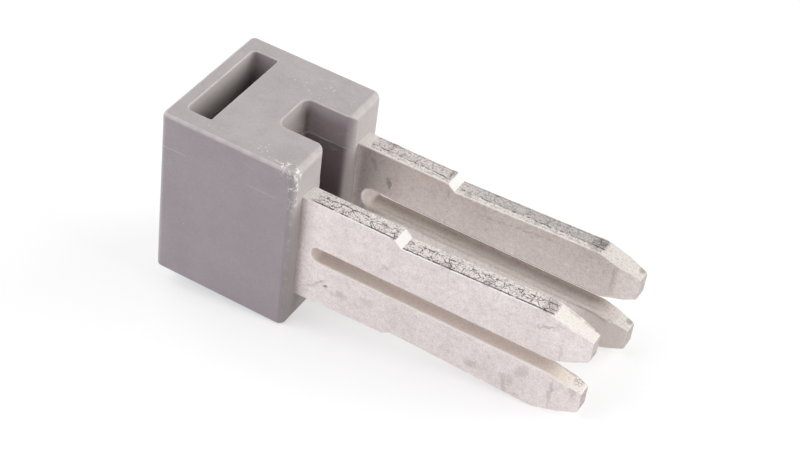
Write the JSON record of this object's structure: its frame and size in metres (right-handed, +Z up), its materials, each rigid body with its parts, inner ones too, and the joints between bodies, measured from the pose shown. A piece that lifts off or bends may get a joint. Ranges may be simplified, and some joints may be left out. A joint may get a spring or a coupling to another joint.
{
  "type": "terminal block jumper bar",
  "caption": "Plug-in jumper: slotted flat legs of one U-shaped plated bar stand out of a moulded grey insulating housing with a notch between its arms and a tool slot in its top.",
  "frame": {"origin": "middle of the footprint, at the height of the housing's underside", "axes": "+X the way the legs plug in, +Y across from the near leg to the far leg, +Z up to the tool slot"},
  "size_m": [0.0718, 0.0248, 0.0303],
  "materials": {
    "housing": "matte moulded polyamide, light grey",
    "contact": "satin tin plating on stamped copper"
  },
  "bodies": {
    "root": {"insulating_housing": "housing", "contact_bar": "contact"}
  },
  "joints": []
}
